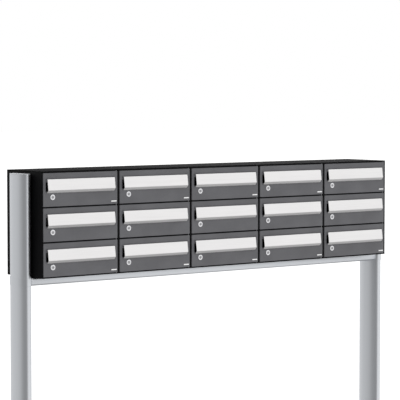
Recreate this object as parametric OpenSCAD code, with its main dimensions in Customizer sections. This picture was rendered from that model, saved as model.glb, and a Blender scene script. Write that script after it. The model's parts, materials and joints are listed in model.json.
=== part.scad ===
// Cluster mailbox: letterboxes side by side and on top of each other, hung between
// two oval aluminium posts and carried from below by a beam.
// Every letterbox has a door on a hinge rod, a weather flap over its slot and a cam lock.
// Axes: X runs along the boxes, their fronts face -Y, Z is up.
// Origin: on the ground, in the middle of the outer size.
// Inside a letterbox's own frame, x and z count from its upper left corner and y from the front.

/* [Letterboxes] */
// Number of letterboxes side by side
cols = 5; // [1:1:5]
// Number of letterboxes on top of each other
rows = 3; // [1:1:3]
// Width of one letterbox, from the middle of one wall to the next
col_pitch = 390; // [380:1:420]
// Height of one letterbox, from the middle of one shelf to the next
row_pitch = 145; // [140:1:200]
// Depth of the carcass without screw heads
box_d = 260; // [230:1:320]
// Height of the ground to the top of the roof
overall_h = 1500; // [1300:5:1700]
// How far the carcass reaches below its lowest row
base_h = 2.5; // [2:0.5:6]
// Thickness of the carcass and door sheet
sheet_t = 1.5; // [1:0.1:2]
// Height of the roof tray
roof_h = 4.5; // [4:0.5:10]

/* [Front frame] */
// Width of the folded front edge of a divider
upright_w = 7; // [6.5:0.1:9]
// Height of the folded front edge of a shelf
rail_h = 3; // [3:0.1:4]
// Depth of the folded front edges
fold_d = 10; // [9:0.5:14]
// Height of the tapped strips along the back
strip_h = 12; // [10:1:16]
// Thickness of the tapped strips
strip_t = 3; // [2.5:0.5:4]

/* [Doors] */
// Gap between a door and the frame at its sides
side_gap = 2.4; // [2.3:0.1:4]
// Gap between a door and the frame above and below it
end_gap = 1.4; // [1.2:0.1:3]
// Depth of a door's turned-in edges
pan_d = 12; // [12:0.5:13]
// Width of the letter slot
slot_w = 352; // [325:1:356]
// Height of the letter slot
slot_h = 38; // [30:1:40]
// Distance of the slot's upper edge below the top of the letterbox
slot_top = 41; // [40:1:43]
// Diameter of the hinge rod
rod_d = 4; // [3.5:0.1:4.5]
// Distance of the hinge rod from the door's front and right side
rod_inset = 4.5; // [4.5:0.1:5]
// Outer diameter of a door's hinge tube
knuckle_d = 7; // [6.5:0.1:8]
// Length of a door's hinge tube
knuckle_l = 25; // [15:1:30]

/* [Flaps] */
// Width of a weather flap
flap_w = 342; // [320:1:346]
// Thickness of the flap's sheet
flap_t = 1.2; // [1:0.1:1.5]
// Diameter of the rolled upper edge
roll_d = 5; // [4.5:0.1:6]
// Distance of the flap's pivot below the top of the letterbox
pivot_z = 31; // [29:1:33]
// Distance of the flap's pivot in front of the door
pivot_out = 3.5; // [3.5:0.1:5]
// Length of the flap's face from the pivot to the bend
face_l = 44; // [36:0.5:46]
// Lean of the flap's face, in degrees
face_lean = 7.85; // [5:0.05:8]
// Length of the lip that turns back to the door
lip_l = 15.6; // [10:0.1:15.6]
// Slope of the lip, in degrees
lip_lean = 41.9; // [30:0.1:42]
// Diameter of the flap's pivot pins
pin_d = 3; // [2.5:0.1:4]
// Width of the ears that hold the pivot pins
ear_w = 3; // [2:0.5:3.5]

/* [Locks] */
// Distance of the lock from the letterbox's left side
lock_x = 52; // [48:1:54]
// Distance of the lock below the top of the letterbox
lock_z = 103; // [100:1:105]
// Diameter of the lock's rosette
rosette_d = 24; // [22:0.5:26]
// Diameter of the lock's barrel
barrel_d = 18.8; // [18:0.1:20]
// Diameter of the turning plug
plug_d = 12; // [10:0.5:13]
// Length of the cam from the middle of the plug
cam_l = 31; // [28:0.5:32]

/* [Posts and beam] */
// Width of a post's oval section along the boxes
post_w = 50; // [44:1:60]
// Depth of a post's oval section
post_d = 126; // [120:1:132]
// How full the oval is, from 2 for an ellipse to 4 for a near rectangle
oval_power = 2.5; // [2:0.1:4]
// Wall thickness of a post
post_wall = 3; // [2.5:0.5:4]
// Distance of the posts' middle behind the front
post_y = 124; // [115:1:135]
// Distance of the posts' tops below the top sheet
post_drop = 7.5; // [4:0.5:12]
// Height of the beam under the boxes
beam_h = 34; // [25:1:40]
// Depth of the beam
beam_d = 112; // [80:1:116]
// Thickness of a foot plate
foot_t = 10; // [8:1:15]
// Width of a foot plate along the boxes
foot_w = 148; // [130:1:180]
// Depth of a foot plate
foot_d = 220; // [190:1:240]
// Diameter of the anchor bolt holes
anchor_d = 14; // [12:0.5:18]
// Spacing of the anchor bolt holes along the boxes
anchor_x = 108; // [96:1:120]
// Spacing of the anchor bolt holes across the boxes
anchor_y = 176; // [160:1:190]

/* [Hidden] */
$fn = 48;

// clearances
running = 0.05;    // radial clearance of a pin that turns
loose = 0.2;       // radial clearance of a screw in its hole
apart = 0.1;       // gap between pieces that share a node

// colours
anthracite = [0.32, 0.32, 0.34];
jet = [0.07, 0.07, 0.08];
stainless = [0.86, 0.85, 0.84];
chromed = [0.8, 0.8, 0.82];
anodised = [0.7, 0.72, 0.74];
zinc = [0.6, 0.61, 0.62];

// carcass
box_w = cols * col_pitch;
grid_h = rows * row_pitch + base_h;
grid_top = overall_h - roof_h;
box_z = grid_top - grid_h;
front_in = sheet_t;                    // frame and floor stand this far behind the doors
back_in = box_d - sheet_t;             // inner face of the back panel
strip_in = back_in - strip_t;          // inner face of the tapped strips
fold_end = front_in + fold_d;
screw_head_h = 2.4;

// doors
door_x0 = upright_w / 2 + side_gap;
door_w = col_pitch - 2 * door_x0;
door_z0 = rail_h / 2 + end_gap;
door_h = row_pitch - 2 * door_z0;
rod_x = door_x0 + door_w - rod_inset;
knuckle_bore = rod_d / 2 + running;

// flaps: y and z of the bend's outer edge, seen from the side, from the directions
// of face and lip and the outward normals of both
flap_x0 = (col_pitch - flap_w) / 2;
face_dir = [-sin(face_lean), -cos(face_lean)];
face_out = [-cos(face_lean), sin(face_lean)];
lip_dir = [sin(lip_lean), -cos(lip_lean)];
lip_out = [-cos(lip_lean), -sin(lip_lean)];
face_start = [-pivot_out, -pivot_z] + (roll_d / 2 - 0.1) * face_out;
bend = face_start + face_l * face_dir;
flap_reach = -bend[0];
ear_gap = 0.5;
ear_r = 3.5;

// locks
rosette_t = 2.5;
barrel_l = 14;
plug_out = 3.2;
cam_y = 17;
cam_t = 2;
cam_w = 12;
striker_y = 13.5;
striker_t = 2;
striker_reach = 30;
striker_h = 20;

// posts, beam and bolts
post_x = box_w / 2 + post_w / 2;
post_top = grid_top - post_drop;
oval_steps = 64;
cap_t = 3;
cap_plug_h = 15;
collar_t = 2;
beam_wall = 3;
beam_r = 8;
foot_r = 12;
post_bolt_d = 8;
post_bolt_spread = 30;
beam_screw_d = 6;
beam_screw_spread = 110;
back_screw_d = 4;
back_screw_spread = 120;

// the front plane's place, with flaps and screw heads counted in the depth
front_y = (flap_reach - box_d - screw_head_h) / 2;

// ---- places -------------------------------------------------------------------

// the frame of the whole carcass: its upper left front corner, below the roof
module in_carcass() {
    translate([-box_w / 2, front_y, grid_top]) children();
}

// the frame of the letterbox in row r, column c
module in_letterbox(r, c) {
    in_carcass() translate([(c - 1) * col_pitch, 0, -(r - 1) * row_pitch]) children();
}

// both ends of the row of letterboxes, at the middle of each post on the ground
module at_posts() {
    for (side = [-1, 1]) translate([side * post_x, front_y + post_y, 0]) children();
}

// places of the bolts that hold the carcass to the posts: in the top and bottom rows,
// where an oval post touches the wall
module at_post_bolts() {
    for (side = [-1, 1]) for (r = [1, rows]) for (dz = [-1, 1])
        translate([side * box_w / 2, front_y + post_y,
                   grid_top - (r - 0.5) * row_pitch + dz * post_bolt_spread])
            rotate([0, side * 90, 0]) children();
}

// places of the screws that hold the floor to the beam
module at_beam_screws() {
    for (c = [1:cols]) for (dx = [-1, 1])
        translate([(c - 0.5) * col_pitch + dx * beam_screw_spread - box_w / 2,
                   front_y + post_y, box_z + sheet_t]) children();
}

// places of the screws that hold the back panel, pointing backwards
module at_back_screws() {
    in_carcass() for (c = [1:cols]) for (dx = [-1, 1])
        for (z = [-sheet_t - strip_h / 2, sheet_t + strip_h / 2 - grid_h])
            translate([(c - 0.5) * col_pitch + dx * back_screw_spread, box_d, z])
                rotate([-90, 0, 0]) children();
}

// ---- shared shapes ------------------------------------------------------------

// a cylinder along X, from x = 0
module rod_x(r, l) {
    rotate([0, 90, 0]) cylinder(r = r, h = l);
}

// a cylinder along Y, from y = 0
module rod_y(r, l) {
    rotate([-90, 0, 0]) cylinder(r = r, h = l);
}

// one coordinate of the oval, along a half axis, from the cosine or sine of the angle
function oval_reach(half, turn) = sign(turn) * half * pow(abs(turn), 2 / oval_power);

// a post's section, drawn smaller by inset; the steps leave a narrow flat on each axis
module oval(w, d, inset = 0) {
    polygon([for (k = [0.5:1:oval_steps]) let (a = 360 * k / oval_steps)
        [oval_reach(w / 2 - inset, cos(a)), oval_reach(d / 2 - inset, sin(a))]]);
}

// a rectangle with round corners
module round_rect(w, d, r) {
    square([w - 2 * r, d], center = true);
    square([w, d - 2 * r], center = true);
    for (sx = [-1, 1]) for (sy = [-1, 1])
        translate([sx * (w / 2 - r), sy * (d / 2 - r)]) circle(r = r);
}

// the rods' holes in one letterbox's width of a sheet, from z upwards
module rod_hole(z, h) {
    translate([rod_x, rod_inset, z]) cylinder(r = knuckle_bore, h = h);
}

// ---- doors --------------------------------------------------------------------

module door_sheet() {
    translate([door_x0, 0, -door_z0 - door_h]) {
        cube([door_w, sheet_t, door_h]);
        for (x = [0, door_w - sheet_t]) translate([x, 0, 0]) cube([sheet_t, pan_d, door_h]);
        for (z = [0, door_h - sheet_t]) translate([0, 0, z]) cube([door_w, pan_d, sheet_t]);
    }
}

module hinge_tubes() {
    for (z = [-door_z0 - knuckle_l, -door_z0 - door_h])
        translate([rod_x, rod_inset, z]) cylinder(d = knuckle_d, h = knuckle_l);
}

// the two ears that carry the flap's pivot pins
module flap_ears() {
    for (x = [flap_x0 - ear_gap - ear_w, flap_x0 + flap_w + ear_gap])
        translate([x, -pivot_out, -pivot_z]) {
            rod_x(ear_r, ear_w);
            translate([0, 0, -ear_r]) cube([ear_w, pivot_out + sheet_t / 2, 2 * ear_r]);
        }
}

// the lock's rosette, barrel and nut stay still in the door
module lock_housing() {
    difference() {
        translate([lock_x, 0, -lock_z]) {
            translate([0, -rosette_t - apart, 0]) rod_y(rosette_d / 2, rosette_t);
            translate([0, -rosette_t, 0]) rod_y(barrel_d / 2, rosette_t + barrel_l);
            translate([0, sheet_t + apart, 0]) rotate([-90, 0, 0])
                cylinder(r = 12.7, h = 3, $fn = 6);
        }
        translate([lock_x, -rosette_t - 1, -lock_z])
            rod_y(plug_d / 2 + running, rosette_t + barrel_l + 2);
    }
}

module door(r, c) {
    in_letterbox(r, c) {
        color(anthracite) difference() {
            union() {
                door_sheet();
                hinge_tubes();
                flap_ears();
            }
            translate([(col_pitch - slot_w) / 2, -1, -slot_top - slot_h])
                cube([slot_w, sheet_t + 2, slot_h]);
            translate([lock_x, -1, -lock_z]) rod_y(barrel_d / 2 + apart, sheet_t + 2);
            rod_hole(-door_z0 - door_h - 1, door_h + 2);
            translate([flap_x0 - ear_gap - ear_w - 1, -pivot_out, -pivot_z])
                rod_x(pin_d / 2 + running, flap_w + 2 * (ear_gap + ear_w + 1));
        }
        color(chromed) lock_housing();
    }
}

// ---- flaps --------------------------------------------------------------------

// outline of the bent sheet from the side, with a mitred inner corner
module flap_outline() {
    mitre = flap_t / (1 + face_out * lip_out) * (face_out + lip_out);
    lip_end = bend + lip_l * lip_dir;
    polygon([face_start, bend, lip_end, lip_end - flap_t * lip_out,
             bend - mitre, face_start - flap_t * face_out]);
}

// bent stainless sheet: rolled upper edge, leaning face and a lip back to the door
module flap(r, c) {
    pin_l = ear_gap + ear_w;
    color(stainless) in_letterbox(r, c) translate([flap_x0, 0, 0]) {
        rotate([90, 0, 90]) linear_extrude(flap_w) flap_outline();
        translate([0, -pivot_out, -pivot_z]) {
            rod_x(roll_d / 2, flap_w);
            translate([-pin_l, 0, 0]) rod_x(pin_d / 2, flap_w + 2 * pin_l);
        }
    }
}

// ---- locks --------------------------------------------------------------------

// the turning plug with its key slot, and the cam and nut on its inner end;
// the cam hangs down while the door is free to open
module lock(r, c) {
    cam_end_r = cam_w / 2;
    color(chromed) in_letterbox(r, c) translate([lock_x, 0, -lock_z]) {
        difference() {
            translate([0, -plug_out, 0]) rod_y(plug_d / 2, plug_out + cam_y);
            translate([-0.9, -plug_out - 1, -3.5]) cube([1.8, 4, 7]);
        }
        translate([0, cam_y, 0]) {
            rod_y(8, cam_t);
            translate([-cam_w / 2, 0, -cam_l + cam_end_r]) cube([cam_w, cam_t, cam_l - cam_end_r]);
            translate([0, 0, -cam_l + cam_end_r]) rod_y(cam_end_r, cam_t);
            rotate([-90, 0, 0]) cylinder(r = 5.8, h = cam_t + 4, $fn = 6);
            rod_y(3, cam_t + 6);
        }
    }
}

// ---- carcass ------------------------------------------------------------------

// one outer wall with its folded front edge, at the left end
module side_panel() {
    translate([0, 0, -grid_h]) cube([sheet_t, box_d, grid_h]);
    translate([0, 0, -grid_h + sheet_t])
        cube([upright_w / 2, fold_end, grid_h - 2 * sheet_t]);
}

module side_panels() {
    color(jet) difference() {
        in_carcass() {
            side_panel();
            translate([box_w, 0, 0]) mirror([1, 0, 0]) side_panel();
        }
        at_post_bolts() translate([0, 0, -sheet_t - 1])
            cylinder(r = post_bolt_d / 2 + loose, h = sheet_t + 2);
    }
}

// the walls between the columns, each with a wide front edge
module dividers() {
    h = grid_h - 2 * sheet_t;
    color(jet) in_carcass() for (c = [1:1:cols - 1]) translate([c * col_pitch, 0, -grid_h + sheet_t]) {
        translate([-upright_w / 2, front_in, 0]) cube([upright_w, fold_d, h]);
        translate([-sheet_t / 2, front_in, 0]) cube([sheet_t, strip_in - front_in, h]);
    }
}

// one shelf: a sheet with a thicker front rail, which the hinge rod passes through
module shelf(c) {
    left = c == 1 ? sheet_t : sheet_t / 2;
    right = c == cols ? sheet_t : sheet_t / 2;
    difference() {
        union() {
            translate([upright_w / 2, front_in, -rail_h / 2])
                cube([col_pitch - upright_w, fold_d, rail_h]);
            translate([left, fold_end, -sheet_t / 2])
                cube([col_pitch - left - right, strip_in - fold_end, sheet_t]);
        }
        rod_hole(-rail_h, 2 * rail_h);
    }
}

module shelves() {
    color(jet) for (r = [1:1:rows - 1]) for (c = [1:cols])
        in_letterbox(r, c) translate([0, 0, -row_pitch]) shelf(c);
}

// floor or top sheet, from z = 0 upwards, with a front lip of height lip_h, and
// the strip for the back panel's screws, which is welded on at the height strip_z
module long_sheet(lip_h, strip_z) {
    inner_w = box_w - 2 * sheet_t;
    difference() {
        union() {
            translate([sheet_t, front_in, 0]) cube([inner_w, back_in - front_in, sheet_t]);
            for (c = [1:cols]) translate([(c - 1) * col_pitch + upright_w / 2, front_in, 0])
                cube([col_pitch - upright_w, fold_d, lip_h]);
        }
        for (c = [1:cols]) translate([(c - 1) * col_pitch, 0, 0]) rod_hole(-1, lip_h + 2);
    }
    translate([sheet_t, strip_in, strip_z]) cube([inner_w, strip_t, strip_h - apart]);
}

// holes for the back panel's screws, through the panel and the strip before it
module back_screw_holes() {
    at_back_screws() translate([0, 0, -sheet_t - strip_t - 1])
        cylinder(r = back_screw_d / 2 + loose, h = sheet_t + strip_t + 2);
}

module beam_screw_holes() {
    at_beam_screws() translate([0, 0, -sheet_t - beam_wall - 1])
        cylinder(r = beam_screw_d / 2 + loose, h = sheet_t + beam_wall + 2);
}

module floor_panel() {
    color(jet) difference() {
        in_carcass() translate([0, 0, -grid_h])
            long_sheet(base_h + rail_h / 2, sheet_t + apart);
        back_screw_holes();
        beam_screw_holes();
    }
}

module top_panel() {
    color(jet) difference() {
        in_carcass() translate([0, 0, -sheet_t]) long_sheet(sheet_t, -strip_h);
        back_screw_holes();
    }
}

module back_panel() {
    color(jet) difference() {
        in_carcass() translate([sheet_t, back_in, -grid_h])
            cube([box_w - 2 * sheet_t, sheet_t, grid_h]);
        back_screw_holes();
    }
}

// a shallow tray turned upside down over the top sheet
module roof() {
    color(jet) in_carcass() difference() {
        cube([box_w, box_d, roof_h]);
        translate([sheet_t, sheet_t, -1])
            cube([box_w - 2 * sheet_t, box_d - 2 * sheet_t, roof_h - sheet_t + 1]);
    }
}

// one rod down each column, with a head on the top sheet
module door_hinge_pins() {
    color(zinc) for (c = [1:cols]) in_letterbox(1, c) translate([rod_x, rod_inset, -grid_h]) {
        cylinder(d = rod_d, h = grid_h);
        translate([0, 0, grid_h]) cylinder(d = rod_d + 3, h = sheet_t);
    }
}

// tabs on the left wall of each letterbox, which the turned cam lies behind
module lock_strikers() {
    color(jet) for (r = [1:rows]) for (c = [1:cols]) {
        wall = c == 1 ? sheet_t : sheet_t / 2;
        in_letterbox(r, c) translate([wall, striker_y, -lock_z - striker_h / 2])
            cube([striker_reach - wall, striker_t, striker_h]);
    }
}

// ---- posts, beam and feet -----------------------------------------------------

module posts() {
    h = post_top - cap_t - foot_t;
    color(anodised) difference() {
        at_posts() translate([0, 0, foot_t]) linear_extrude(h) difference() {
            oval(post_w, post_d);
            oval(post_w, post_d, post_wall);
        }
        at_post_bolts() translate([0, 0, -1])
            cylinder(r = post_bolt_d / 2 + loose, h = post_wall + 2);
    }
}

module post_caps() {
    color(anodised) at_posts() translate([0, 0, post_top - cap_t]) {
        linear_extrude(cap_t) oval(post_w, post_d);
        translate([0, 0, -cap_plug_h]) linear_extrude(cap_plug_h)
            oval(post_w, post_d, post_wall + loose);
    }
}

module foot_plates() {
    color(anodised) at_posts() difference() {
        linear_extrude(foot_t) round_rect(foot_w, foot_d, foot_r);
        for (sx = [-1, 1]) for (sy = [-1, 1])
            translate([sx * anchor_x / 2, sy * anchor_y / 2, -1])
                cylinder(d = anchor_d, h = foot_t + 2);
    }
}

// rings round the posts that the beam's ends are welded to
module beam_collars() {
    color(anodised) at_posts() translate([0, 0, box_z - beam_h]) linear_extrude(beam_h)
        difference() {
            oval(post_w, post_d, -collar_t);
            oval(post_w, post_d);
        }
}

// a tube whose ends are cut to the collars' outline
module support_beam() {
    color(anodised) difference() {
        translate([-post_x, front_y + post_y, box_z - beam_h / 2]) rotate([90, 0, 90])
            linear_extrude(2 * post_x) difference() {
                round_rect(beam_d, beam_h, beam_r);
                round_rect(beam_d - 2 * beam_wall, beam_h - 2 * beam_wall, beam_r - beam_wall);
            }
        at_posts() translate([0, 0, box_z - beam_h - 1]) linear_extrude(beam_h + 2)
            oval(post_w, post_d, -collar_t);
        beam_screw_holes();
    }
}

// ---- fasteners ----------------------------------------------------------------

// hexagon bolt with its head inside the letterbox and its nut inside the post
module post_bolt() {
    head_h = 5.3;
    nut_h = 6.5;
    translate([0, 0, -sheet_t - head_h]) cylinder(r = 7.5, h = head_h, $fn = 6);
    translate([0, 0, -sheet_t - head_h]) cylinder(d = post_bolt_d, h = head_h + sheet_t + 18);
    translate([0, 0, post_wall]) cylinder(r = 7.5, h = nut_h, $fn = 6);
}

module pan_head_screw(d, head_h, l) {
    cylinder(r1 = d, r2 = d * 0.8, h = head_h);
    translate([0, 0, -l]) cylinder(d = d, h = l + head_h / 2);
}

module fasteners() {
    color(zinc) {
        at_post_bolts() post_bolt();
        at_beam_screws() pan_head_screw(beam_screw_d, 3.3, 12);
        at_back_screws() pan_head_screw(back_screw_d, screw_head_h, 7);
    }
}

for (r = [1:rows]) for (c = [1:cols]) {
    door(r, c);
    flap(r, c);
    lock(r, c);
}
side_panels();
dividers();
shelves();
floor_panel();
top_panel();
back_panel();
roof();
support_beam();
beam_collars();
posts();
post_caps();
foot_plates();
door_hinge_pins();
lock_strikers();
fasteners();
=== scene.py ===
"""Cluster mailbox: the visual model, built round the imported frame.

Fifteen letterboxes hang between two oval aluminium posts. Each has a sheet
door with a weather flap of bent stainless steel and a cam lock. Lengths are in
metres, X runs along the boxes, the fronts face -Y and Z is up.
"""

import json
import logging
import math
from collections.abc import Iterable, Sequence
from dataclasses import dataclass, field
from enum import Enum

import bmesh
import bpy
from mathutils import Matrix, Vector

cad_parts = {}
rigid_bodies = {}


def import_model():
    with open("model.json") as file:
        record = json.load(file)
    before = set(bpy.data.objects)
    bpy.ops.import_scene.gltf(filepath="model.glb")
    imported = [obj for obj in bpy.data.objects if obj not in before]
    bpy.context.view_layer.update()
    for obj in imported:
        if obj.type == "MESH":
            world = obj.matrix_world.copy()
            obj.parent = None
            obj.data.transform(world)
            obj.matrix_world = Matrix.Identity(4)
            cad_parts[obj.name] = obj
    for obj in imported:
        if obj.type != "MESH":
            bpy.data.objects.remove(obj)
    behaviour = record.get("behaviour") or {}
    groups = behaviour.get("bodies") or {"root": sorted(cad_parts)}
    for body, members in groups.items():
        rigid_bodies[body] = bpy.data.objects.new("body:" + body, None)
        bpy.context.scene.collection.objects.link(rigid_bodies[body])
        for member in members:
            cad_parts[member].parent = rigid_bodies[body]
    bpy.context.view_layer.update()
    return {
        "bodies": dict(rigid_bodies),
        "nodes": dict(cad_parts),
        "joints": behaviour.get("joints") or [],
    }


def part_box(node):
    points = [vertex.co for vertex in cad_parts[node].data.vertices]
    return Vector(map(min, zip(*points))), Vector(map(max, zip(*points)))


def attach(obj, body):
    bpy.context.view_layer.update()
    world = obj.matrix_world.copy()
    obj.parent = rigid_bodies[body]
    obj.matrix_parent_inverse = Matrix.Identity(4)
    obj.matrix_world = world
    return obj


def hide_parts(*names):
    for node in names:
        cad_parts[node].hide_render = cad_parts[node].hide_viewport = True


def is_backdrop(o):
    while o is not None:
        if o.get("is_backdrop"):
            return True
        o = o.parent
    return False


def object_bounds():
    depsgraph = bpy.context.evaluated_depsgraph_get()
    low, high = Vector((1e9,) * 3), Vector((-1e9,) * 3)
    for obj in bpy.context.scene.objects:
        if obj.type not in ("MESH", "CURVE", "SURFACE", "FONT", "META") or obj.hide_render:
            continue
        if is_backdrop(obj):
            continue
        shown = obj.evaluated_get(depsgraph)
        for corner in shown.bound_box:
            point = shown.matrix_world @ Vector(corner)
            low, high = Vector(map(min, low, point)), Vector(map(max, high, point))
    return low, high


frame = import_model()

MM = 0.001
QUARTER = math.pi / 2
Point = tuple[float, float]
Triple = tuple[float, float, float]
Colour = tuple[float, float, float]
Outline = list[Point]
Socket = bpy.types.NodeSocket
log = logging.getLogger("mailbox")


# ---- shapes ------------------------------------------------------------------


class Axis(Enum):
    """The direction that a prism or a turned part runs along."""

    X = "x"
    Y = "y"
    Z = "z"

    def place(self, u: float, v: float, w: float) -> Vector:
        """Puts a section's point (u, v) at w along the axis.

        Args:
            u: The section's first coordinate.
            v: The section's second coordinate.
            w: The place along the axis.

        Returns:
            The point in the model's frame.
        """
        if self is Axis.X:
            return Vector((w, u, v))
        if self is Axis.Y:
            return Vector((u, w, v))
        return Vector((u, v, w))


def arc(centre: Point, radius: float, start: float, end: float, steps: int) -> Outline:
    """Points along an arc, both ends included.

    Args:
        centre: The arc's centre.
        radius: The arc's radius.
        start: The first point's angle, in degrees.
        end: The last point's angle, in degrees.
        steps: How many chords the arc has.

    Returns:
        The points in order.
    """
    turns = [math.radians(start + (end - start) * k / steps) for k in range(steps + 1)]
    return [(centre[0] + radius * math.cos(a), centre[1] + radius * math.sin(a)) for a in turns]


def circle(centre: Point, radius: float, steps: int) -> Outline:
    """A closed circle of points.

    Args:
        centre: The circle's centre.
        radius: The circle's radius.
        steps: How many points it has.

    Returns:
        The points in order, the first not repeated.
    """
    return arc(centre, radius, 0.0, 360.0, steps)[:-1]


def rounded_rect(low: Point, high: Point, radius: float, steps: int = 4) -> Outline:
    """A rectangle with round corners.

    Args:
        low: The lowest corner.
        high: The highest corner.
        radius: The corners' radius.
        steps: How many chords each corner has.

    Returns:
        The points in order.
    """
    x0, x1 = low[0] + radius, high[0] - radius
    z0, z1 = low[1] + radius, high[1] - radius
    corners = [((x1, z1), 0.0), ((x0, z1), 90.0), ((x0, z0), 180.0), ((x1, z0), 270.0)]
    return [p for c, a in corners for p in arc(c, radius, a, a + 90.0, steps)]


def oval(centre: Point, width: float, depth: float, power: float = 2.5, steps: int = 96) -> Outline:
    """A full oval, between an ellipse and a rectangle.

    Args:
        centre: The oval's middle.
        width: Its size along the first coordinate.
        depth: Its size along the second coordinate.
        power: How full it is: 2 is an ellipse.
        steps: How many points it has.

    Returns:
        The points in order.
    """
    made = []
    for u, v in circle((0.0, 0.0), 1.0, steps):
        along = math.copysign(abs(u) ** (2 / power), u) * width / 2
        across = math.copysign(abs(v) ** (2 / power), v) * depth / 2
        made.append((centre[0] + along, centre[1] + across))
    return made


class Draft:
    """A mesh in the making, with the few operations that this object needs."""

    def __init__(self) -> None:
        """Starts an empty mesh."""
        self.bm = bmesh.new()

    def ring(self, points: Iterable[Vector]) -> list[bmesh.types.BMVert]:
        """Adds one closed ring of vertices, without faces."""
        return [self.bm.verts.new(p) for p in points]

    def bridge(self, rings: Sequence[list[bmesh.types.BMVert]], closed: bool = False) -> None:
        """Joins rings of equal length, one to the next, by quads.

        Args:
            rings: The rings in order.
            closed: Whether the last ring joins the first.
        """
        pairs = list(zip(rings, rings[1:]))
        if closed:
            pairs.append((rings[-1], rings[0]))
        for a, b in pairs:
            for k in range(len(a)):
                n = (k + 1) % len(a)
                self.bm.faces.new((a[k], a[n], b[n], b[k]))

    def fill(self, rings: Sequence[list[bmesh.types.BMVert]]) -> None:
        """Fills the flat area inside the first ring and outside the others.

        Args:
            rings: The outer ring, then the holes.
        """
        edges = []
        for r in rings:
            for k in range(len(r)):
                pair = (r[k], r[(k + 1) % len(r)])
                edges.append(self.bm.edges.get(pair) or self.bm.edges.new(pair))
        bmesh.ops.triangle_fill(self.bm, edges=edges, use_beauty=True)

    def prism(
        self, axis: Axis, start: float, end: float, outline: Outline, holes: Sequence[Outline] = ()
    ) -> None:
        """Adds a closed prism with any number of holes.

        Args:
            axis: The direction that it runs along.
            start: Where it starts along the axis.
            end: Where it ends.
            outline: Its section.
            holes: The outlines of its holes.
        """
        ends = []
        for w in (start, end):
            ends.append([self.ring(axis.place(u, v, w) for u, v in o) for o in (outline, *holes)])
        for a, b in zip(*ends):
            self.bridge([a, b])
        for rings in ends:
            self.fill(rings)

    def turned(
        self, axis: Axis, centre: Point, profile: Sequence[Point], steps: int, hollow: bool = False
    ) -> None:
        """Adds a turned part.

        Args:
            axis: The turning axis.
            centre: The axis's place in the section plane.
            profile: Pairs of a place along the axis and a radius.
            steps: How many sides the part has.
            hollow: Whether the profile closes on itself and leaves a bore.
        """
        rings = []
        for w, radius in profile:
            rings.append(self.ring(axis.place(u, v, w) for u, v in circle(centre, radius, steps)))
        self.bridge(rings, closed=hollow)
        if not hollow:
            self.bm.faces.new(rings[0])
            self.bm.faces.new(rings[-1])

    def mesh(self, name: str) -> bpy.types.Mesh:
        """Closes the draft.

        Args:
            name: The mesh's name.

        Returns:
            The mesh, with every normal pointing outwards.
        """
        flat = math.radians(0.5)
        bmesh.ops.dissolve_limit(
            self.bm, angle_limit=flat, verts=self.bm.verts, edges=self.bm.edges
        )
        bmesh.ops.recalc_face_normals(self.bm, faces=self.bm.faces)
        made = bpy.data.meshes.new(name)
        self.bm.to_mesh(made)
        self.bm.free()
        return made


def evaluated(thing: bpy.types.Object) -> bpy.types.Mesh:
    """Turns an object with its modifiers into a plain mesh and removes the object.

    Args:
        thing: The object, which is in the scene.

    Returns:
        The finished mesh.
    """
    graph = bpy.context.evaluated_depsgraph_get()
    made = bpy.data.meshes.new_from_object(thing.evaluated_get(graph))
    thing.modifiers.clear()
    bpy.data.objects.remove(thing)
    return made


def softened(mesh: bpy.types.Mesh, width: float, segments: int = 2) -> bpy.types.Mesh:
    """Rounds a mesh's edges, as a brake press, a file or a coat of powder leaves them.

    Args:
        mesh: The mesh with sharp edges.
        width: How far the rounding reaches from an edge.
        segments: How many faces the rounding has.

    Returns:
        A new mesh whose flat faces stay flat in shading.
    """
    sharpest_left = math.radians(40.0)
    for face in mesh.polygons:
        face.use_smooth = True
    thing = bpy.data.objects.new(mesh.name, mesh)
    bpy.context.scene.collection.objects.link(thing)
    edges = thing.modifiers.new("edges", "BEVEL")
    edges.width = width
    edges.segments = segments
    edges.limit_method = "ANGLE"
    edges.angle_limit = sharpest_left
    edges.harden_normals = True
    edges.use_clamp_overlap = True
    return evaluated(thing)


def smoothed(mesh: bpy.types.Mesh, angle: float = 32.0) -> bpy.types.Mesh:
    """Shades a mesh smooth, apart from its sharp edges.

    Args:
        mesh: The mesh.
        angle: The smallest angle of a sharp edge, in degrees.

    Returns:
        The same mesh.
    """
    for face in mesh.polygons:
        face.use_smooth = True
    mesh.set_sharp_from_angle(angle=math.radians(angle))
    return mesh


def joined(name: str, meshes: Sequence[bpy.types.Mesh]) -> bpy.types.Mesh:
    """Puts several meshes into one, in the order given.

    Args:
        name: The new mesh's name.
        meshes: The meshes to join.

    Returns:
        The joined mesh.
    """
    bm = bmesh.new()
    for m in meshes:
        bm.from_mesh(m)
    made = bpy.data.meshes.new(name)
    bm.to_mesh(made)
    bm.free()
    return made


def moved(mesh: bpy.types.Mesh, name: str, by: Vector) -> bpy.types.Mesh:
    """A copy of a mesh, shifted in its own vertices.

    Args:
        mesh: The mesh to copy.
        name: The copy's name.
        by: How far the copy is shifted.

    Returns:
        The copy.
    """
    made = mesh.copy()
    made.name = name
    made.transform(Matrix.Translation(by))
    return made


def cad_copy(node: str) -> bpy.types.Mesh:
    """A clean copy of a CAD node's mesh, its loose triangles joined into flat faces.

    Args:
        node: The CAD node's name.

    Returns:
        The copy.
    """
    weld_distance = 0.002 * MM
    draft = Draft()
    draft.bm.from_mesh(frame["nodes"][node].data)
    bmesh.ops.remove_doubles(draft.bm, verts=draft.bm.verts, dist=weld_distance)
    return draft.mesh(node + "_skin")


# ---- shading -----------------------------------------------------------------


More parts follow.
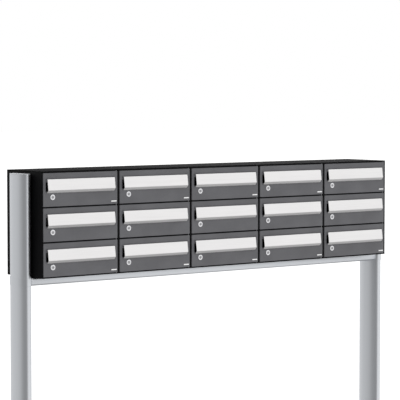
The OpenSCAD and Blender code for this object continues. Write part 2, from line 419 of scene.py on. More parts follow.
class Shader:
    """A material's node tree, with short calls for the nodes that the finishes use."""

    middle_half: Point = (0.25, 0.75)

    def __init__(self, name: str) -> None:
        """Starts a material with a Principled shader and Object coordinates.

        Args:
            name: The material's name.
        """
        self.material = bpy.data.materials.new(name)
        self.material.use_nodes = True
        self.tree = self.material.node_tree
        self.surface = self.tree.nodes["Principled BSDF"]
        self.place = self.tree.nodes.new("ShaderNodeTexCoord").outputs["Object"]

    def constant(self, **values: object) -> None:
        """Sets sockets of the surface, named with underscores for spaces."""
        for name, value in values.items():
            self.surface.inputs[name.replace("_", " ")].default_value = value

    def grain(self, scale: Sequence[float], detail: float, seed: float = 0.0) -> Socket:
        """Adds a noise pattern.

        Args:
            scale: How many grains a metre holds, along X, Y and Z.
            detail: How many finer layers the noise has.
            seed: A shift that makes this pattern differ from others.

        Returns:
            The noise's value, from 0 to 1.
        """
        stretch = self.tree.nodes.new("ShaderNodeMapping")
        stretch.inputs["Scale"].default_value = scale
        stretch.inputs["Location"].default_value = (seed, seed, seed)
        noise = self.tree.nodes.new("ShaderNodeTexNoise")
        noise.inputs["Scale"].default_value = 1.0
        noise.inputs["Detail"].default_value = detail
        self.tree.links.new(self.place, stretch.inputs["Vector"])
        self.tree.links.new(stretch.outputs["Vector"], noise.inputs["Vector"])
        return noise.outputs["Fac"]

    def spread(self, value: Socket, low: float, high: float = 1.0) -> Socket:
        """Maps the middle half of a noise's range to another range.

        Args:
            value: The noise.
            low: The new range's lower end.
            high: The new range's upper end.

        Returns:
            The mapped value.
        """
        node = self.tree.nodes.new("ShaderNodeMapRange")
        node.inputs["From Min"].default_value = self.middle_half[0]
        node.inputs["From Max"].default_value = self.middle_half[1]
        node.inputs["To Min"].default_value = low
        node.inputs["To Max"].default_value = high
        self.tree.links.new(value, node.inputs["Value"])
        return node.outputs["Result"]

    def tint(self, value: Socket, dark: Colour, light: Colour) -> Socket:
        """Mixes two colours.

        Args:
            value: The share of the light colour, from 0 to 1.
            dark: The colour at 0.
            light: The colour at 1.

        Returns:
            The mixed colour.
        """
        node = self.tree.nodes.new("ShaderNodeMix")
        node.data_type = "RGBA"
        colours = [s for s in node.inputs if s.type == "RGBA"]
        colours[0].default_value = (*dark, 1.0)
        colours[1].default_value = (*light, 1.0)
        self.tree.links.new(value, node.inputs["Factor"])
        return next(s for s in node.outputs if s.type == "RGBA")

    def product(self, a: Socket, b: Socket) -> Socket:
        """Multiplies two values.

        Args:
            a: The first value.
            b: The second value.

        Returns:
            Their product.
        """
        node = self.tree.nodes.new("ShaderNodeMath")
        node.operation = "MULTIPLY"
        self.tree.links.new(a, node.inputs[0])
        self.tree.links.new(b, node.inputs[1])
        return node.outputs["Value"]

    def relief(
        self, height: Socket, depth: float, strength: float, under: Socket | None = None
    ) -> Socket:
        """Adds a bump.

        Args:
            height: The pattern that makes the relief.
            depth: Its height in metres.
            strength: How much of it shows.
            under: A coarser bump to add to.

        Returns:
            The bumped normal.
        """
        node = self.tree.nodes.new("ShaderNodeBump")
        node.inputs["Distance"].default_value = depth
        node.inputs["Strength"].default_value = strength
        self.tree.links.new(height, node.inputs["Height"])
        if under is not None:
            self.tree.links.new(under, node.inputs["Normal"])
        return node.outputs["Normal"]

    def finish(self, colour: Socket, roughness: Socket, normal: Socket) -> bpy.types.Material:
        """Links what was made to the surface.

        Args:
            colour: The base colour's output.
            roughness: The roughness's output.
            normal: The bumped normal's output.

        Returns:
            The material.
        """
        for made, socket in ((colour, "Base Color"), (roughness, "Roughness"), (normal, "Normal")):
            self.tree.links.new(made, self.surface.inputs[socket])
        return self.material


def shade(colour: Colour, by: float) -> Colour:
    """A colour made lighter or darker by a factor."""
    return (colour[0] * by, colour[1] * by, colour[2] * by)


@dataclass(frozen=True)
class PowderCoat:
    """Baked powder coat with a fine grain and faint clouds in its tone."""

    name: str
    colour: Colour
    roughness: float
    specular: float
    grain_size: float = 0.9 * MM
    peel_size: float = 4.5 * MM
    cloud_size: float = 90 * MM
    darkest: float = 0.5
    lightest: float = 1.4
    rough_range: float = 0.07
    grain_tone: float = 0.55
    cloud_tone: float = 0.7
    peel_depth: float = 0.1 * MM
    peel_strength: float = 0.4
    grain_depth: float = 0.09 * MM
    grain_strength: float = 0.6

    def material(self) -> bpy.types.Material:
        """Builds the coat.

        Returns:
            The material.
        """
        s = Shader(self.name)
        s.constant(Metallic=0.0, Specular_IOR_Level=self.specular)
        fine = s.grain([1 / self.grain_size] * 3, detail=2.0)
        peel = s.grain([1 / self.peel_size] * 3, detail=1.0, seed=3.1)
        cloud = s.grain([1 / self.cloud_size] * 3, detail=3.0, seed=7.7)
        speckle = s.product(s.spread(fine, self.grain_tone), s.spread(cloud, self.cloud_tone))
        dark, light = shade(self.colour, self.darkest), shade(self.colour, self.lightest)
        rough = s.spread(fine, self.roughness - self.rough_range, self.roughness + self.rough_range)
        normal = s.relief(peel, self.peel_depth, self.peel_strength)
        normal = s.relief(fine, self.grain_depth, self.grain_strength, normal)
        return s.finish(s.tint(speckle, dark, light), rough, normal)


@dataclass(frozen=True)
class BrushedSteel:
    """Stainless sheet with its grain along X."""

    name: str
    colour: Colour
    roughness: float
    line_scale: Triple = (9.0, 1900.0, 1900.0)
    band_scale: Triple = (2.5, 130.0, 130.0)
    cloud_scale: Triple = (6.0, 14.0, 14.0)
    darkest: float = 0.76
    lightest: float = 1.07
    line_tone: float = 0.7
    band_tone: float = 0.8
    cloud_tone: float = 0.88
    smoother: float = 0.05
    rougher: float = 0.07
    line_depth: float = 0.02 * MM
    line_strength: float = 0.45

    def material(self) -> bpy.types.Material:
        """Builds the brushed finish.

        Returns:
            The material.
        """
        s = Shader(self.name)
        s.constant(Metallic=1.0)
        lines = s.grain(self.line_scale, detail=3.0)
        bands = s.grain(self.band_scale, detail=2.0, seed=5.3)
        cloud = s.grain(self.cloud_scale, detail=2.0, seed=9.1)
        mix = s.product(s.spread(lines, self.line_tone), s.spread(bands, self.band_tone))
        mix = s.product(mix, s.spread(cloud, self.cloud_tone))
        dark, light = shade(self.colour, self.darkest), shade(self.colour, self.lightest)
        rough = s.spread(bands, self.roughness - self.smoother, self.roughness + self.rougher)
        normal = s.relief(lines, self.line_depth, self.line_strength)
        return s.finish(s.tint(mix, dark, light), rough, normal)


@dataclass(frozen=True)
class AnodisedAluminium:
    """Extruded aluminium with die lines along one axis under a satin anodic film."""

    name: str
    colour: Colour
    roughness: float
    along: Axis
    line_scale: Point = (1.2, 900.0)
    band_scale: Point = (0.6, 60.0)
    satin_scale: float = 2600.0
    darkest: float = 0.9
    lightest: float = 1.04
    line_tone: float = 0.75
    band_tone: float = 0.8
    smoother: float = 0.04
    rougher: float = 0.05
    line_depth: float = 0.012 * MM
    line_strength: float = 0.35

    def drawn(self, scale: Point) -> list[float]:
        """A noise's scale: the first number along the profile, the second across."""
        return [scale[0] if axis is self.along else scale[1] for axis in Axis]

    def material(self) -> bpy.types.Material:
        """Builds the anodised finish.

        Returns:
            The material.
        """
        s = Shader(self.name)
        s.constant(Metallic=1.0)
        lines = s.grain(self.drawn(self.line_scale), detail=2.0)
        bands = s.grain(self.drawn(self.band_scale), detail=2.0, seed=4.4)
        satin = s.grain([self.satin_scale] * 3, detail=1.0, seed=1.9)
        mix = s.product(s.spread(lines, self.line_tone), s.spread(bands, self.band_tone))
        dark, light = shade(self.colour, self.darkest), shade(self.colour, self.lightest)
        rough = s.spread(satin, self.roughness - self.smoother, self.roughness + self.rougher)
        normal = s.relief(lines, self.line_depth, self.line_strength)
        return s.finish(s.tint(mix, dark, light), rough, normal)


@dataclass(frozen=True)
class PlatedMetal:
    """Chrome or zinc plate with faint rubbing marks."""

    name: str
    colour: Colour
    roughness: float
    haze_scale: float = 180.0
    mark_scale: Triple = (1500.0, 300.0, 1500.0)
    darkest: float = 0.9
    lightest: float = 1.04
    smoother: float = 0.7
    rougher: float = 1.4
    mark_depth: float = 0.01 * MM
    mark_strength: float = 0.15

    def material(self) -> bpy.types.Material:
        """Builds the plated finish.

        Returns:
            The material.
        """
        s = Shader(self.name)
        s.constant(Metallic=1.0)
        haze = s.grain([self.haze_scale] * 3, detail=3.0)
        marks = s.grain(self.mark_scale, detail=2.0, seed=2.2)
        dark, light = shade(self.colour, self.darkest), shade(self.colour, self.lightest)
        colour = s.tint(s.spread(haze, 0.0), dark, light)
        rough = s.spread(haze, self.roughness * self.smoother, self.roughness * self.rougher)
        return s.finish(colour, rough, s.relief(marks, self.mark_depth, self.mark_strength))


class Finish(Enum):
    """Every finish on the object, with the record's slot that it belongs to."""

    DOOR = "door_coat"
    FRAME = "frame_coat"
    FLAP = "flap_steel"
    LOCK = "lock_chrome"
    PLUG = "lock_plug"
    POST = "post_aluminium"
    BEAM = "beam_aluminium"
    WELD = "weld_aluminium"
    ZINC = "zinc_steel"
    BADGE = "badge_aluminium"


class Paintshop:
    """Makes each finish once and hands it out."""

    recipes = {
        Finish.DOOR: PowderCoat("anthracite_powder", (0.103, 0.103, 0.11), 0.6, 0.35),
        Finish.FRAME: PowderCoat("jet_powder", (0.004, 0.004, 0.0045), 0.7, 0.06),
        Finish.FLAP: BrushedSteel("brushed_stainless", (0.86, 0.85, 0.85), 0.34),
        Finish.LOCK: PlatedMetal("bright_chrome", (0.82, 0.82, 0.84), 0.16),
        Finish.PLUG: PlatedMetal("satin_nickel", (0.42, 0.42, 0.43), 0.32),
        Finish.POST: AnodisedAluminium("anodised_upright", (0.68, 0.7, 0.73), 0.36, Axis.Z),
        Finish.BEAM: AnodisedAluminium("anodised_level", (0.68, 0.7, 0.73), 0.4, Axis.X),
        Finish.WELD: PlatedMetal("weld_metal", (0.55, 0.55, 0.56), 0.38),
        Finish.ZINC: PlatedMetal("zinc_plate", (0.6, 0.61, 0.63), 0.3),
        Finish.BADGE: AnodisedAluminium("plain_badge", (0.9, 0.9, 0.9), 0.4, Axis.X),
    }
    slots = {
        Finish.PLUG: "lock_chrome",
        Finish.BEAM: "post_aluminium",
        Finish.WELD: "post_aluminium",
        Finish.BADGE: "post_aluminium",
    }

    def __init__(self) -> None:
        """Builds every material."""
        self.made = {finish: recipe.material() for finish, recipe in self.recipes.items()}

    def slot(self, finish: Finish) -> str:
        """The record's material slot for a finish."""
        return self.slots.get(finish, finish.value)

    def piece(
        self, name: str, mesh: bpy.types.Mesh, finish: Finish, body: str, *nodes: str
    ) -> bpy.types.Object:
        """Turns a mesh into a finished piece that rides on a CAD body.

        Args:
            name: The piece's name.
            mesh: Its mesh, in place in the model's frame.
            finish: What it is coated with.
            body: The CAD body that it moves with.
            nodes: The CAD nodes that it stands for.

        Returns:
            The piece.
        """
        mesh.name = name
        mesh.materials.clear()
        mesh.materials.append(self.made[finish])
        thing = bpy.data.objects.new(name, mesh)
        bpy.context.scene.collection.objects.link(thing)
        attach(thing, body)
        if nodes:
            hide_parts(*nodes)
        log.info("%s rides on %s, %d faces", name, body, len(mesh.polygons))
        return thing


# ---- geometry node recipes -----------------------------------------------------


class Recipe:
    """A Geometry Nodes tree with named inputs, which works on a mesh of its own."""

    def __init__(self, name: str) -> None:
        """Starts the tree with a geometry input and output.

        Args:
            name: The tree's name.
        """
        self.tree = bpy.data.node_groups.new(name, "GeometryNodeTree")
        self.sockets: dict[str, str] = {}
        self.start = self.tree.nodes.new("NodeGroupInput")
        self.end = self.tree.nodes.new("NodeGroupOutput")
        self.input("Geometry", "NodeSocketGeometry")
        self.tree.interface.new_socket(
            "Geometry", in_out="OUTPUT", socket_type="NodeSocketGeometry"
        )

    def input(self, name: str, kind: str) -> Socket:
        """Adds a named input.

        Args:
            name: The input's name.
            kind: Its socket type.

        Returns:
            The socket that gives its value inside the tree.
        """
        item = self.tree.interface.new_socket(name, in_out="INPUT", socket_type=kind)
        self.sockets[name] = item.identifier
        return self.start.outputs[name]

    def node(
        self, kind: str, links: dict[str, object] | None = None, **settings: object
    ) -> bpy.types.Node:
        """Adds a node and links its inputs.

        Args:
            kind: The node's type.
            links: Sockets or plain values for its inputs, by name.
            settings: The node's own settings.

        Returns:
            The node.
        """
        made = self.tree.nodes.new(kind)
        for name, value in settings.items():
            setattr(made, name, value)
        for name, value in (links or {}).items():
            if isinstance(value, bpy.types.NodeSocket):
                self.tree.links.new(value, made.inputs[name])
            else:
                made.inputs[name].default_value = value
        return made

    def close(self, geometry: Socket, material: Socket) -> None:
        """Ends the tree: instances made real, then the material set.

        Args:
            geometry: What the tree has made.
            material: The material that it gets.
        """
        real = self.node("GeometryNodeRealizeInstances", {"Geometry": geometry})
        painted = self.node(
            "GeometryNodeSetMaterial", {"Geometry": real.outputs[0], "Material": material}
        )
        self.tree.links.new(painted.outputs[0], self.end.inputs[0])

    def run(self, mesh: bpy.types.Mesh, **values: object) -> bpy.types.Mesh:
        """Runs the tree on a mesh.

        Args:
            mesh: What the tree starts from.
            values: The inputs, named with underscores for spaces.

        Returns:
            The finished plain mesh.
        """
        thing = bpy.data.objects.new(self.tree.name, mesh)
        modifier = thing.modifiers.new(self.tree.name, "NODES")
        modifier.node_group = self.tree
        for name, value in values.items():
            modifier[self.sockets[name.replace("_", " ")]] = value
        bpy.context.scene.collection.objects.link(thing)
        return evaluated(thing)


def points_mesh(points: Sequence[Vector]) -> bpy.types.Mesh:
    """A mesh of loose points.

    Args:
        points: Where the points lie.

    Returns:
        The mesh, which has neither edges nor faces.
    """
    made = bpy.data.meshes.new("points")
    made.from_pydata([tuple(p) for p in points], [], [])
    return made


def outline_mesh(outlines: Sequence[Outline]) -> bpy.types.Mesh:
    """A mesh of closed loops of edges in the XY plane.

    Args:
        outlines: The loops, the outer one first.

    Returns:
        The mesh, which has no faces.
    """
    verts: list[Triple] = []
    edges: list[tuple[int, int]] = []
    for o in outlines:
        first = len(verts)
        verts += [(u, v, 0.0) for u, v in o]
        edges += [(first + k, first + (k + 1) % len(o)) for k in range(len(o))]
    made = bpy.data.meshes.new("outline")
    made.from_pydata(verts, edges, [])
    return made


class ExtrusionRecipe(Recipe):
    """Pushes a closed section through a die: fills it and draws it out to a length."""

    def __init__(self) -> None:
        """Builds the tree, whose inputs are Length, Turn, Place and Finish."""
        super().__init__("extrusion")
        length = self.input("Length", "NodeSocketFloat")
        turn = self.input("Turn", "NodeSocketVector")
        place = self.input("Place", "NodeSocketVector")
        coat = self.input("Finish", "NodeSocketMaterial")
        curve = self.node("GeometryNodeMeshToCurve", {"Mesh": self.start.outputs["Geometry"]})
        face = self.node("GeometryNodeFillCurve", {"Curve": curve.outputs[0]})
        drawn = self.node(
            "GeometryNodeExtrudeMesh",
            {"Mesh": face.outputs[0], "Offset": (0.0, 0.0, 1.0), "Offset Scale": length,
             "Individual": False},
        )
        back = self.node("GeometryNodeFlipFaces", {"Mesh": face.outputs[0]})
        both = self.node("GeometryNodeJoinGeometry")
        self.tree.links.new(drawn.outputs["Mesh"], both.inputs[0])
        self.tree.links.new(back.outputs[0], both.inputs[0])
        touching = 0.001 * MM
        shell = self.node(
            "GeometryNodeMergeByDistance", {"Geometry": both.outputs[0], "Distance": touching}
        )
        placed = self.node(
            "GeometryNodeTransform",
            {"Geometry": shell.outputs[0], "Rotation": turn, "Translation": place},
        )
        self.close(placed.outputs[0], coat)

    def draw(
        self, outlines: Sequence[Outline], axis: Axis, start: Vector, length: float, coat: Finish,
        shop: Paintshop,
    ) -> bpy.types.Mesh:
        """Draws a section out along an axis.

        Args:
            outlines: The section's outer line, then its holes.
            axis: The direction of drawing: X takes the section as (y, z), Z as (x, y).
            start: Where the section's own zero lies.
            length: How long the profile is.
            coat: Its finish.
            shop: Where the finish comes from.

        Returns:
            The profile as a plain mesh with merged flat faces.
        """
        turn = (QUARTER, 0.0, QUARTER) if axis is Axis.X else (0.0, 0.0, 0.0)
        made = self.run(
            outline_mesh(outlines), Length=length, Turn=turn, Place=tuple(start),
            Finish=shop.made[coat],
        )
        draft = Draft()
        draft.bm.from_mesh(made)
        return draft.mesh("profile")


class RepeatRecipe(Recipe):
    """Sets one small part on every point, each turned by chance about its own axis."""

    def __init__(self) -> None:
        """Builds the tree, whose inputs are Part, Spin, Aim, Seed and Finish."""
        super().__init__("repeat")
        part = self.input("Part", "NodeSocketObject")
        spin = self.input("Spin", "NodeSocketFloat")
        aim = self.input("Aim", "NodeSocketVector")
        seed = self.input("Seed", "NodeSocketInt")
        coat = self.input("Finish", "NodeSocketMaterial")
        chance = self.node(
            "FunctionNodeRandomValue", {"Min": 0.0, "Seed": seed}, data_type="FLOAT"
        )
        highest = [s for s in chance.inputs if s.name == "Max" and s.type == "VALUE"][0]
        self.tree.links.new(spin, highest)
        value = [s for s in chance.outputs if s.type == "VALUE"][0]
        about = self.node("ShaderNodeCombineXYZ", {"Z": value})
        turned = self.node(
            "FunctionNodeRotateEuler", {"Rotation": about.outputs[0], "Rotate By": aim},
            space="OBJECT",
        )
        shape = self.node("GeometryNodeObjectInfo", {"Object": part})
        placed = self.node(
            "GeometryNodeInstanceOnPoints",
            {"Points": self.start.outputs["Geometry"], "Instance": shape.outputs["Geometry"],
             "Rotation": turned.outputs[0]},
        )
        self.close(placed.outputs[0], coat)

    def set_out(
        self, part: bpy.types.Mesh, points: Sequence[Vector], coat: Finish, shop: Paintshop,
        aim: Triple = (0.0, 0.0, 0.0), spin: float = 0.0, seed: int = 1,
    ) -> bpy.types.Mesh:
        """Repeats a part.

        Args:
            part: The part, built upright at the origin.
            points: Where it goes.
            coat: Its finish.
            shop: Where the finish comes from.
            aim: The turn that points its Z axis the right way.
            spin: The largest turn about its own axis.
            seed: The seed of the turns.

        Returns:
            All of them as one plain mesh.
        """
        model = bpy.data.objects.new("model", part)
        bpy.context.scene.collection.objects.link(model)
        made = self.run(
            points_mesh(points), Part=model, Spin=spin, Aim=aim, Seed=seed, Finish=shop.made[coat]
        )
        bpy.data.objects.remove(model)
        return made


class WeldRecipe(Recipe):
    """Lays a rippled weld bead along closed lines: evenly stepped, overlapping drops."""

    def __init__(self) -> None:
        """Builds the tree, whose inputs are Bead, Step and Finish."""
        super().__init__("weld_bead")
        bead = self.input("Bead", "NodeSocketFloat")
        step = self.input("Step", "NodeSocketFloat")
        coat = self.input("Finish", "NodeSocketMaterial")
        line = self.node("GeometryNodeMeshToCurve", {"Mesh": self.start.outputs["Geometry"]})
        even = self.node(
            "GeometryNodeResampleCurve", {"Curve": line.outputs[0], "Length": step}, mode="LENGTH"
        )
        drop = self.node("GeometryNodeMeshIcoSphere", {"Radius": bead, "Subdivisions": 2})
        drops = self.node(
            "GeometryNodeInstanceOnPoints",
            {"Points": even.outputs[0], "Instance": drop.outputs[0]},
        )
        self.close(drops.outputs[0], coat)


# ---- places ------------------------------------------------------------------


@dataclass(frozen=True)
class Berth:
    """Where one letterbox's door, flap and lock sit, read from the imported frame."""

    label: str
    row: int
    low: Vector
    high: Vector
    front: float
    pivot: Vector
    lock: Vector
    rod: Vector

    @classmethod
    def read(cls, row: int, column: int) -> "Berth":
        """Reads one letterbox's places.

        Args:
            row: Counted from the top, from 1.
            column: Counted from the left, from 1.

        Returns:
            The berth.
        """
        label = f"r{row}c{column}"
        spots = {j["name"]: Vector(j["pos_m"]) for j in frame["joints"]}
        low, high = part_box(f"door_{label}")
        return cls(
            label, row, low, high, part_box("side_panels")[0].y,
            spots[f"flap_{label}_hinge"], spots[f"lock_{label}_turn"], spots[f"door_{label}_hinge"],
        )

    def offset(self, other: "Berth") -> Vector:
        """How far another berth lies from this one."""
        return Vector((other.low.x - self.low.x, 0.0, other.high.z - self.high.z))


# ---- the letterboxes' moving fronts ---------------------------------------------


@dataclass
class Door:
    """A sheet door: a pan with bent edges, a letter slot, hinge tubes and flap ears."""

    sheet: float = 1.5 * MM
    depth: float = 12 * MM
    bend: float = 2.0 * MM
    inner_bend: float = 0.6 * MM
    bend_steps: int = 4
    rim_edge: float = 0.3 * MM
    corner: float = 2.6 * MM
    least_corner: float = 0.4 * MM
    slot_width: float = 352 * MM
    slot_height: float = 38 * MM
    slot_below_pivot: float = 10 * MM
    slot_corner: float = 2 * MM
    slot_edge: float = 0.5 * MM
    lock_hole: float = 9.5 * MM
    tube_radius: float = 3.5 * MM
    tube_bore: float = 2.05 * MM
    tube_length: float = 25 * MM
    ear_radius: float = 3.5 * MM
    ear_width: float = 3 * MM
    pin_bore: float = 1.55 * MM
    edge: float = 0.25 * MM

    def around(
        self, draft: Draft, at: Berth, depth: float, inset: float
    ) -> list[bmesh.types.BMVert]:
        """Adds one ring of the pan.

        Args:
            draft: The pan's draft.
            at: The letterbox that it is made for.
            depth: How far the ring lies behind the front.
            inset: How far it lies inside the pan's outline.

        Returns:
            The ring.
        """
        low = (at.low.x + inset, at.low.z + inset)
        high = (at.high.x - inset, at.high.z - inset)
        flat = rounded_rect(low, high, max(self.corner - inset, self.least_corner))
        return draft.ring(Vector((x, at.front + depth, z)) for x, z in flat)

    def pan(self, at: Berth) -> bpy.types.Mesh:
        """Bends the pan and cuts its slot and lock hole.

        Args:
            at: The letterbox that it is made for.

        Returns:
            The pan's mesh.
        """
        draft = Draft()
        sheet, edge = self.sheet, self.rim_edge
        turns = [math.radians(90 * k / self.bend_steps) for k in range(self.bend_steps + 1)]
        outer = [(self.bend * (1 - math.cos(a)), self.bend * (1 - math.sin(a))) for a in turns]
        rim = [(self.depth - edge, 0.0), (self.depth, edge), (self.depth, sheet - edge),
               (self.depth - edge, sheet)]
        fold = self.inner_bend
        inner = [
            (sheet + fold * (1 - math.cos(a)), sheet + fold * (1 - math.sin(a)))
            for a in reversed(turns)
        ]
        rings = [self.around(draft, at, depth, inset) for depth, inset in outer + rim + inner]
        draft.bridge(rings)
        slot = self.slot_wall(draft, at)
        hole = []
        for depth in (0.0, sheet):
            flat = circle((at.lock.x, at.lock.z), self.lock_hole, 40)
            hole.append(draft.ring(Vector((x, at.front + depth, z)) for x, z in flat))
        draft.bridge(hole)
        draft.fill([rings[0], slot[0], hole[0]])
        draft.fill([rings[-1], slot[-1], hole[-1]])
        return smoothed(draft.mesh("door_pan"), 28.0)

    def slot_wall(self, draft: Draft, at: Berth) -> list[list[bmesh.types.BMVert]]:
        """Adds the wall of the letter slot, with its edges rounded.

        Args:
            draft: The pan's draft.
            at: The letterbox that it is made for.

        Returns:
            The wall's rings from front to back.
        """
        middle = (at.low.x + at.high.x) / 2
        top = at.pivot.z - self.slot_below_pivot
        rings = []
        edge = self.slot_edge
        shoulder = 0.3 * edge
        for depth, spread in ((0.0, edge), (shoulder, shoulder), (edge, 0.0),
                              (self.sheet - edge, 0.0), (self.sheet, edge)):
            low = (middle - self.slot_width / 2 - spread, top - self.slot_height - spread)
            high = (middle + self.slot_width / 2 + spread, top + spread)
            flat = rounded_rect(low, high, self.slot_corner + spread)
            rings.append(draft.ring(Vector((x, at.front + depth, z)) for x, z in flat))
        draft.bridge(rings)
        return rings

    def hardware(self, at: Berth) -> bpy.types.Mesh:
        """Makes the hinge tubes and the ears that carry the flap.

        Args:
            at: The letterbox that they are made for.

        Returns:
            Their mesh.
        """
        draft = Draft()
        for bottom in (at.high.z - self.tube_length, at.low.z):
            rings = [(bottom, self.tube_bore), (bottom, self.tube_radius),
                     (bottom + self.tube_length, self.tube_radius),
                     (bottom + self.tube_length, self.tube_bore)]
            draft.turned(Axis.Z, (at.rod.x, at.rod.y), rings, 28, hollow=True)
        flap_low, flap_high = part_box(f"flap_{at.label}")
        root = at.front + self.sheet / 2
        nose = arc((at.pivot.y, at.pivot.z), self.ear_radius, 90.0, 270.0, 10)
        outline = [*nose, (root, at.pivot.z - self.ear_radius), (root, at.pivot.z + self.ear_radius)]
        bore = circle((at.pivot.y, at.pivot.z), self.pin_bore, 20)
        for start in (flap_low.x, flap_high.x - self.ear_width):
            draft.prism(Axis.X, start, start + self.ear_width, outline, [bore])
        return softened(draft.mesh("door_hardware"), self.edge)

    def build(self, at: Berth) -> bpy.types.Mesh:
        """Makes the whole door for one letterbox."""
        return joined("door", [self.pan(at), self.hardware(at)])


@dataclass
class Flap:
    """The weather flap: sheet rolled at the top, leaning outwards, with a lip."""

    sheet: float = 1.2 * MM
    roll: float = 2.5 * MM
    pin: float = 1.5 * MM
    pin_length: float = 3.5 * MM
    pin_root: float = 6 * MM
    pin_edge: float = 0.4 * MM
    bend: float = 2.4 * MM
    bend_steps: int = 6
    fall: float = 44 * MM
    lip_gap: float = 1.6 * MM
    lip_rise: float = 11.35 * MM
    curl_start: float = -110.0
    curl_steps: int = 24
    margin_below: float = 0.2 * MM
    margin_ahead: float = 0.25 * MM
    edge: float = 0.22 * MM

    def centre_line(self, at: Berth) -> Outline:
        """The sheet's middle line from the side, as (y, z).

        Args:
            at: The letterbox that it is made for.

        Returns:
            The line's points from inside the roll to the lip's end.
        """
        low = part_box(f"flap_{at.label}")[0]
        half = self.sheet / 2
        radius = self.roll - half
        pivot = (at.pivot.y, at.pivot.z)
        lean = math.atan2(pivot[0] - self.roll - low.y, self.fall)
        start = (pivot[0] - radius * math.cos(lean), pivot[1] + radius * math.sin(lean))
        curl = arc(pivot, radius, self.curl_start, 180.0 - math.degrees(lean), self.curl_steps)
        end = (at.front - self.lip_gap, low.z + half + self.margin_below)
        reach = (low.y + half + self.margin_ahead, end[1] + self.lip_rise)
        down = Vector((reach[0] - start[0], reach[1] - start[1])).normalized()
        back = Vector((end[0] - reach[0], end[1] - reach[1])).normalized()
        tangent = self.bend * math.tan(down.angle(back) / 2)
        first = Vector(reach) - down * tangent
        last = Vector(reach) + back * tangent
        bent = []
        for k in range(self.bend_steps + 1):
            t = k / self.bend_steps
            p = (1 - t) ** 2 * first + 2 * t * (1 - t) * Vector(reach) + t * t * last
            bent.append((p.x, p.y))
        return [*curl, *bent, end]

    def section(self, at: Berth) -> Outline:
        """The sheet's whole section: the middle line, thickened to both sides.

        Args:
            at: The letterbox that it is made for.

        Returns:
            The section as (y, z).
        """
        line = [Vector(p) for p in self.centre_line(at)]
        half = self.sheet / 2
        sides: tuple[Outline, Outline] = ([], [])
        for k, p in enumerate(line):
            before = line[max(k - 1, 0)]
            after = line[min(k + 1, len(line) - 1)]
            along = (after - before).normalized()
            across = Vector((-along.y, along.x)) * half
            sides[0].append(tuple(p + across))
            sides[1].append(tuple(p - across))
        return sides[0] + sides[1][::-1]

    def build(self, at: Berth, recipe: ExtrusionRecipe, shop: Paintshop) -> bpy.types.Mesh:
        """Makes the flap with its pivot pins.

        Args:
            at: The letterbox that it is made for.
            recipe: The tree that draws the section out.
            shop: Where the finish comes from.

        Returns:
            The flap's mesh.
        """
        low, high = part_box(f"flap_{at.label}")
        left, right = low.x + self.pin_length, high.x - self.pin_length
        start = Vector((left, 0.0, 0.0))
        sheet = recipe.draw([self.section(at)], Axis.X, start, right - left, Finish.FLAP, shop)
        pins = Draft()
        for end, tip in ((left, low.x), (right, high.x)):
            way = 1 if tip > end else -1
            profile = [(end - way * self.pin_root, self.pin), (tip - way * self.pin_edge, self.pin),
                       (tip, self.pin - self.pin_edge)]
            pins.turned(Axis.X, (at.pivot.y, at.pivot.z), profile, 20)
        return joined("flap", [softened(sheet, self.edge), smoothed(pins.mesh("pins"))])


